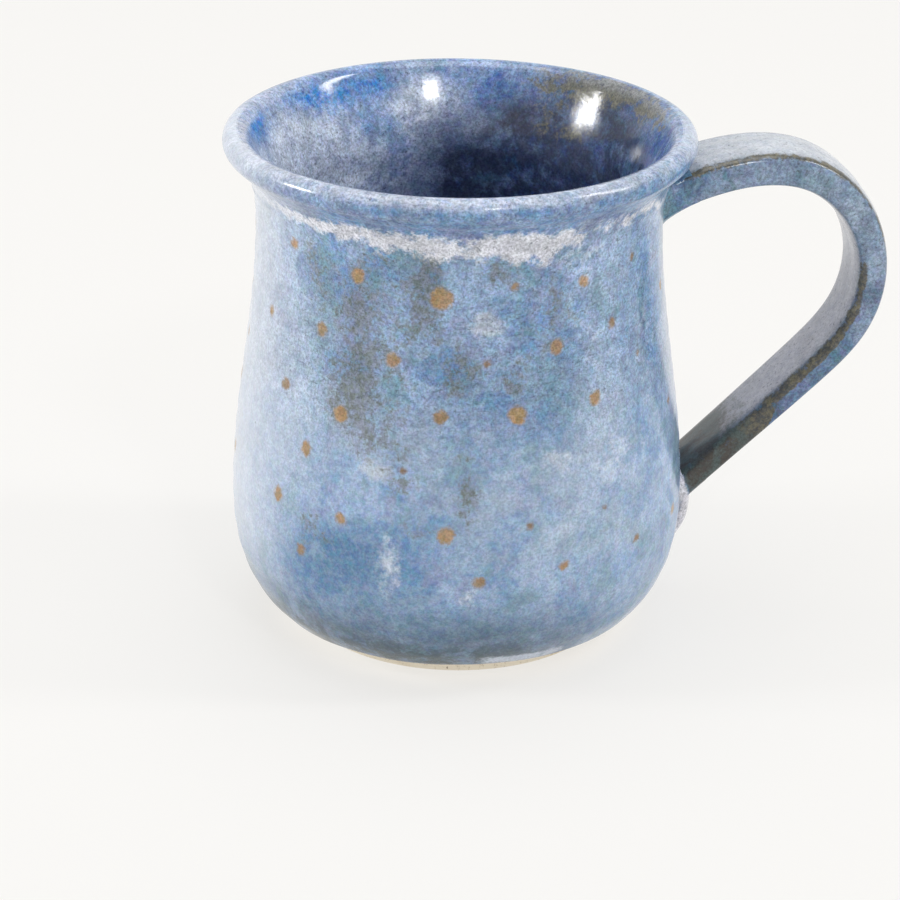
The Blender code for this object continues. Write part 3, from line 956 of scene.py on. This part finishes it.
class Glaze:
    """A material under construction: its node tree, its shader, and the place on the object."""

    def __init__(self, name):
        self.material = bpy.data.materials.new(name)
        self.material.use_nodes = True
        self.tree = self.material.node_tree
        self.shader = self.tree.nodes["Principled BSDF"]
        self.place = add(self.tree, "ShaderNodeTexCoord").outputs["Object"]

    def noise(self, size_mm, detail=3.0, roughness=0.55, distortion=0.0, seed=0.0, stretch=None):
        """Noise whose features are about size_mm across. stretch scales the place along each axis first."""
        place = self.place
        if stretch or seed:
            shift = (seed, seed * 0.7, seed * 0.3)
            scale = stretch or (1, 1, 1)
            place = add(self.tree, "ShaderNodeMapping", Vector=place, Scale=scale, Location=shift).outputs[0]
        return add(
            self.tree,
            "ShaderNodeTexNoise",
            Vector=place,
            Scale=1 / (size_mm * MM * 2),
            Detail=detail,
            Roughness=roughness,
            Distortion=distortion,
        ).outputs["Fac"]

    def mark(self, name):
        """The value of one of the piece's attributes."""
        return add(self.tree, "ShaderNodeAttribute", {"attribute_name": name}).outputs["Fac"]

    def math(self, operation, first, second=0.0, third=0.0):
        """Sum, product or other operation on up to three values."""
        settings = {"operation": operation}
        return add(self.tree, "ShaderNodeMath", settings, i0=first, i1=second, i2=third).outputs[0]

    def ramp(self, value, low, high, start=0.0, stop=1.0):
        """Smooth step of value from low to high, between start and stop."""
        ends = {"From_Min": low, "From_Max": high, "To_Min": start, "To_Max": stop}
        settings = {"interpolation_type": "SMOOTHSTEP"}
        return add(self.tree, "ShaderNodeMapRange", settings, Value=value, **ends).outputs[0]

    def gated(self, name, *ramp):
        """An attribute times the ramp of a noise, so that it shows more here and less there."""
        return self.math("MULTIPLY", self.mark(name), self.ramp(*ramp))

    def ragged(self, name, curdle, mottle, amount, low, high, most):
        """How far an attribute shows, from 0 to most: broken up by two noises, nothing where it is nil."""
        mark = self.mark(name)
        broken = self.math("ADD", mark, self.math("MULTIPLY_ADD", curdle, 2 * amount, -amount))
        broken = self.math("ADD", broken, self.math("MULTIPLY_ADD", mottle, 2 * amount, -amount))
        return self.math("MULTIPLY", self.ramp(broken, low, high, 0, most), self.ramp(mark, 0.02, 0.30))

    def mix_value(self, amount, under, over):
        """Number over under, by amount."""
        settings = {"data_type": "FLOAT"}
        return add(self.tree, "ShaderNodeMix", settings, i0=amount, i2=under, i3=over).outputs[0]

    def mix(self, amount, under, over):
        """Colour over under, by amount."""
        settings = {"data_type": "RGBA"}
        return add(self.tree, "ShaderNodeMix", settings, i0=amount, i6=under, i7=over).outputs[2]

    def finish(self, colour, roughness, relief, strength, depth):
        """Joins the colour, the roughness and a bump of this depth to the shader."""
        bump = add(self.tree, "ShaderNodeBump", Height=relief, Strength=strength, Distance=depth)
        for value, socket in ((colour, "Base Color"), (roughness, "Roughness"), (bump.outputs[0], "Normal")):
            self.tree.links.new(value, self.shader.inputs[socket])
        return self.material


def glazed_stoneware(name, looks, roughness=0.14, cloud_soft=0.95, smoke_most=0.88):
    """Mottled reduction glaze on stoneware: glass over iron-flecked clay, so it is glossy and grainy.

    Cobalt blue where it lies thick, lavender white where it breaks thin on an edge, olive where ash fell.
    Patches are 10 to 20 mm, mottling 2 to 4 mm, and the grain 0.3 to 0.5 mm, near a sand grain's size.
    looks holds the glaze's own colours, and one colour for each attribute that the piece carries.
    """
    looks = {key: srgb(code) for key, code in looks.items()}
    g = Glaze(name)
    wide = g.noise(13, 4, 0.6, 0.6, seed=0.31)
    patch = g.noise(7, 5, 0.62, 0.9, seed=0.77)
    green = g.noise(4.4, 5, 0.68, 0.8, seed=1.4)
    purple = g.noise(3.6, 5, 0.68, 0.8, seed=2.2)
    mottle = g.noise(2.4, 5, 0.68, 0.5, seed=0.13)
    curdle = g.noise(0.9, 4, 0.72, 0.3, seed=0.59)
    tint = g.noise(0.6, 3, 0.7, seed=3.1)
    grain = g.noise(0.26, 2, 0.75, seed=0.23)
    colour = g.mix(g.ramp(wide, 0.44, 0.58), looks["middle"], looks["pale"])
    colour = g.mix(g.ramp(patch, 0.50, 0.60, 0, 0.8), colour, looks["thick"])
    colour = g.mix(g.ramp(green, 0.52, 0.62, 0, 0.7), colour, looks["teal"])
    colour = g.mix(g.ramp(purple, 0.53, 0.63, 0, 0.6), colour, looks["violet"])
    soft_gates = {
        "milky": (patch, 0.30, 0.60, 1.0, 0.55),
        "deep": (mottle, 0.32, 0.56, 0.45, 1.0),
        "navy": (mottle, 0.32, 0.56, 0.45, 1.0),
        "heel": (mottle, 0.32, 0.56, 0.45, 1.0),
        "inner_face": (curdle, 0.2, 0.6, 0.75, 0.95),
        "outer_face": (curdle, 0.2, 0.6, 0.75, 0.95),
    }
    for key, gate in soft_gates.items():
        if key in looks:
            colour = g.mix(g.gated(key, *gate), colour, looks[key])
    if "cloud" in looks:
        amount = g.ragged("cloud", curdle, mottle, 0.50, 0.38, cloud_soft, 0.85)
        colour = g.mix(amount, colour, looks["cloud"])
    if "busy" in looks:
        scratch = g.noise(1.3, 5, 0.72, 0.6, seed=4.4, stretch=(1, 1, 3.4))
        colour = g.mix(g.gated("busy", scratch, 0.54, 0.68, 0, 0.65), colour, looks["busy"])
    if "smoke" in looks:
        sooty = g.mix(g.ramp(tint, 0.38, 0.62), looks["smoke"], looks["ash"])
        amount = g.ragged("smoke", curdle, mottle, 1.15, 0.24, 0.80, smoke_most)
        colour = g.mix(amount, colour, sooty)
    if "foot_end" in looks:
        burnt = g.mix(g.ramp(mottle, 0.42, 0.58), looks["foot_end"], srgb("#3C4C4A"))
        colour = g.mix(g.ragged("foot_end", curdle, mottle, 0.5, 0.15, 0.7, 0.92), colour, burnt)
    if "collar" in looks:
        violet = g.mix(g.ramp(patch, 0.42, 0.60), looks["collar"], looks["thick"])
        colour = g.mix(g.gated("collar", curdle, 0.30, 0.66, 0.85, 0.45), colour, violet)
    if "band" in looks:
        colour = g.mix(g.ragged("band", curdle, patch, 0.85, 0.22, 0.80, 0.92), colour, looks["band"])
    # painted shade along the corners of the strap's side faces
    if "edge" in looks:
        colour = g.mix(g.gated("edge", curdle, 0.3, 0.6, 0.95, 0.45), colour, looks["edge"])
    if "thin" in looks:
        colour = g.mix(g.gated("thin", curdle, 0.30, 0.60, 0.45, 0.92), colour, looks["thin"])
    # painted reflection: pales the colour down two sides of the cup
    if "side_reflection" in looks:
        colour = g.mix(g.math("MULTIPLY", g.mark("side_reflection"), 0.8), colour, looks["side_reflection"])
    pepper = g.ramp(g.noise(0.42, 3, 0.75, seed=5.3), 0.57, 0.68, 0, 0.65)
    if "busy" in looks:
        pepper = g.math("MULTIPLY", pepper, g.math("MULTIPLY_ADD", g.mark("busy"), 0.65, 0.35))
    # the painted reflection also thins the pepper there
    if "side_reflection" in looks:
        pepper = g.math("MULTIPLY", pepper, g.math("MULTIPLY_ADD", g.mark("side_reflection"), -0.8, 1.0))
    colour = g.mix(pepper, colour, looks["fleck"])
    flecks = g.ramp(g.noise(0.5, 3, 0.8, seed=2.7), 0.66, 0.74, 0, 0.55)
    colour = g.mix(flecks, colour, looks["fleck"])
    if "spot" in looks:
        away = g.math("ADD", g.mark("spot"), g.math("MULTIPLY_ADD", curdle, 2.4, -1.2))
        rust = g.mix(g.mark("dark"), looks["spot"], srgb("#6B5137"))
        rust = g.mix(g.ramp(tint, 0.42, 0.60, 0, 0.5), rust, srgb("#8A6A3C"))
        colour = g.mix(g.ramp(away, 0.35, -0.60, 0, 0.88), colour, rust)
    light = g.math("MULTIPLY", g.ramp(grain, 0.36, 0.64, 0.70, 1.22), g.ramp(mottle, 0.36, 0.62, 0.82, 1.14))
    light = g.math("MULTIPLY", light, g.ramp(curdle, 0.34, 0.64, 0.90, 1.08))
    if "busy" in looks:
        light = g.mix_value(g.math("MULTIPLY_ADD", g.mark("busy"), -0.35, 0.45), light, 1.0)
    # and evens the grain under the painted reflection
    if "side_reflection" in looks:
        light = g.mix_value(g.math("MULTIPLY", g.mark("side_reflection"), 0.5), light, 1.0)
    if "inner_face" in looks:
        calm = g.math("ADD", g.mark("inner_face"), g.mark("outer_face"))
        light = g.mix_value(g.math("MULTIPLY", calm, 0.55), light, 1.0)
    grainy = add(
        g.tree,
        "ShaderNodeHueSaturation",
        Hue=g.ramp(tint, 0.35, 0.65, 0.482, 0.518),
        Saturation=g.ramp(curdle, 0.35, 0.65, 1.15, 0.90),
        Value=light,
        Color=colour,
    ).outputs[0]
    g.shader.inputs["IOR"].default_value = 1.62
    gloss = g.ramp(patch, 0.3, 0.7, roughness, roughness + 0.10)
    relief = g.math("MULTIPLY_ADD", mottle, 0.7, g.math("MULTIPLY", curdle, 0.3))
    return g.finish(grainy, gloss, relief, 0.45, 0.12 * MM)


def bare_stoneware(name):
    """Unglazed fired stoneware: dry, cream, faintly toasted, with sand grains of about half a millimetre."""
    g = Glaze(name)
    toast = g.ramp(g.noise(9, 4, 0.6, 0.4, seed=0.4), 0.42, 0.66)
    colour = g.mix(toast, srgb("#F0E7D5"), srgb("#DECDB2"))
    sand = g.noise(0.45, 3, 0.75, seed=0.9)
    colour = g.mix(g.ramp(sand, 0.44, 0.30, 0, 0.5), colour, srgb("#A8967C"))
    colour = g.mix(g.ramp(sand, 0.60, 0.72, 0, 0.6), colour, srgb("#EDE6D8"))
    iron = g.ramp(g.noise(0.8, 2, 0.6, seed=1.9), 0.72, 0.76, 0, 0.8)
    colour = g.mix(iron, colour, srgb("#5E4630"))
    return g.finish(colour, g.ramp(sand, 0.3, 0.7, 0.78, 0.62), sand, 0.5, 0.15 * MM)


def glowing_card(name):
    """Smooth card that glows like a light table: matte, almost even, with a faint tooth; its glow is painted
    light that lifts the shadow round the mug.
    """
    g = Glaze(name)
    tooth = g.ramp(g.noise(3.0, 3, 0.6), 0.3, 0.7, 0, 0.03)
    g.tree.links.new(g.mix(tooth, srgb("#868583"), srgb("#83817F")), g.shader.inputs["Base Color"])
    g.shader.inputs["Roughness"].default_value = 0.85
    g.shader.inputs["Specular IOR Level"].default_value = 0.1
    # painted light: the card glows of itself, which lifts the shadow round the mug
    g.shader.inputs["Emission Color"].default_value = srgb("#FFFEFC")
    g.shader.inputs["Emission Strength"].default_value = 0.66
    return g.material


# ---- The pieces, dressed

outer_glaze = glazed_stoneware(
    "mottled_blue_stoneware_glaze",
    {
        "middle": "#8DA7C7", "pale": "#9DB7DA", "thick": "#6F96C2",
        "teal": "#7098A8", "violet": "#8C96BC", "deep": "#577EA3",
        "heel": "#2C3F46", "cloud": "#C3CDDD", "milky": "#AFC0D6",
        # next line, first: the pale of the painted reflection down the cup's sides
        "side_reflection": "#D2D9E5", "busy": "#4B6173", "smoke": "#52553C",
        "ash": "#747C8A", "collar": "#6F7FA6", "band": "#E0E1E9",
        "thin": "#BAC2D4", "fleck": "#4C5A68", "spot": "#B8935C",
    },
    smoke_most=0.76,
)
liner_glaze = glazed_stoneware(
    "deep_blue_liner_glaze",
    {
        "middle": "#7590BC", "pale": "#8AA2CC", "thick": "#4A70B4",
        "teal": "#5E8AA8", "violet": "#787EB4", "deep": "#4688D0",
        "navy": "#30384F", "cloud": "#D0DAEA", "milky": "#D6DFEE",
        "smoke": "#66664F", "ash": "#75705F", "thin": "#B9C0D2",
        "fleck": "#39435A", "spot": "#9A7A4C",
    },
    roughness=0.08,
    cloud_soft=1.25,
)
strap_glaze = glazed_stoneware(
    "strap_handle_glaze",
    {
        "middle": "#5E7A9A", "pale": "#8094B0", "thick": "#466C90",
        "teal": "#4A7A86", "violet": "#666B96", "milky": "#A2B3C6",
        "inner_face": "#B6B5BD", "outer_face": "#C2C8D1", "smoke": "#332E1E",
        # next line, last: the colour of the painted shade along the strap's corners
        "ash": "#665A38", "foot_end": "#3A332C", "edge": "#454A3E",
        "fleck": "#4A525C",
    },
)
joint_glaze = glazed_stoneware(
    "worked_joint_glaze",
    {
        "middle": "#6D86A6", "pale": "#879CBC", "thick": "#567A9E",
        "teal": "#5F8A98", "violet": "#7A82AA", "deep": "#577A9C",
        "cloud": "#DAD7DE", "foot_end": "#463E34", "fleck": "#4C5A68",
    },
)
bare_clay = bare_stoneware("bare_fired_stoneware")


def dress(piece, material, slot, *nodes):
    """Gives a piece its material, its body and the CAD nodes that it stands for; its slot is not used."""
    piece.data.materials.append(material)
    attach(piece, "root")
    if nodes:
        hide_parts(*nodes)


dress(make_clay_body(), bare_clay, "bare_stoneware", "clay_body")
dress(make_outer_coat(), outer_glaze, "outer_glaze", "outer_glaze")
dress(make_liner(), liner_glaze, "liner_glaze", "liner_glaze")
dress(make_strap_core(), bare_clay, "handle_clay", "handle_strap")
dress(make_strap_coat(), strap_glaze, "handle_glaze", "handle_glaze")
dress(make_upper_joint(), joint_glaze, "upper_joint_glaze", "upper_joint")
lower_collar, lower_tongue = make_lower_joint()
dress(lower_collar, joint_glaze, "lower_joint_glaze", "lower_joint")
dress(lower_tongue, joint_glaze, "lower_joint_glaze")


# ---- Floor, light and camera


def make_floor():
    """A wide card that curves up behind: flat to the front, then a quarter circle, then upright."""
    bend = 0.9
    turn = np.linspace(0, math.pi / 2, 24)
    curve = np.column_stack([2.0 + bend * np.sin(turn), bend * (1 - np.cos(turn))])
    line = np.vstack([[(-3.0, 0.0)], curve, [(2.0 + bend, 4.0)]])  # (y, z) in metres
    wide = np.array([-4.0, 4.0])
    points = np.array([[x, y, z - 0.05 * MM] for y, z in line for x in wide])
    index = np.arange(len(line) - 1)[:, None] * 2
    quads = index + np.array([[0, 1, 3, 2]])
    floor = new_piece("floor_card", points, quads)
    floor.data.materials.append(glowing_card("glowing_white_card"))


def soft_light(name, place, size, power):
    """A white rectangular lamp at this place, turned to the middle of the mug."""
    target = (0, 0, 0.07)
    light = bpy.data.lights.new(name, "AREA")
    light.shape = "RECTANGLE"
    light.size, light.size_y = size
    light.energy = power
    lamp = bpy.data.objects.new(name, light)
    bpy.context.scene.collection.objects.link(lamp)
    lamp.location = place
    lamp.rotation_euler = (Vector(target) - Vector(place)).to_track_quat("-Z", "Y").to_euler()


def make_light():
    """A bright even room, a two-pane window low on the left, a lamp in front and a panel above right."""
    world = bpy.data.worlds.new("bright_room")
    world.use_nodes = True
    background = world.node_tree.nodes["Background"]
    background.inputs["Color"].default_value = (1.0, 0.995, 0.985, 1.0)
    background.inputs["Strength"].default_value = 0.59
    bpy.context.scene.world = world
    for name, y in (("window_pane_near", -0.02), ("window_pane_far", 0.12)):
        soft_light(name, (-1.09, y, 0.57), (0.11, 0.19), 2.2)
    soft_light("overhead_fill", (0.0, 0.1, 1.7), (1.2, 1.2), 8.0)
    soft_light("front_lamp", (0.20, -1.00, 0.90), (0.16, 0.12), 1.8)
    soft_light("panel_above_right", (0.85, -0.15, 0.85), (0.16, 0.5), 3.4)
    bpy.context.scene.view_settings.view_transform = "Standard"


def make_camera():
    """A long lens a little above the rim, eight degrees round from the middle, away from the handle."""
    camera = bpy.data.cameras.new("camera")
    camera.lens = 130.1
    camera.sensor_width = 36.0
    camera.clip_start = 0.05
    camera.clip_end = 50.0
    holder = bpy.data.objects.new("camera", camera)
    bpy.context.scene.collection.objects.link(holder)
    place = Vector((-0.0827, -0.5811, 0.2904))
    aim = Vector((-0.0008, 0.0040, 0.0315))
    roll = math.radians(0.57)
    turn = (aim - place).to_track_quat("-Z", "Y") @ Quaternion((0, 0, 1), roll)
    holder.matrix_world = Matrix.Translation(place) @ turn.to_matrix().to_4x4()
    bpy.context.scene.camera = holder


make_floor()
make_light()
make_camera()
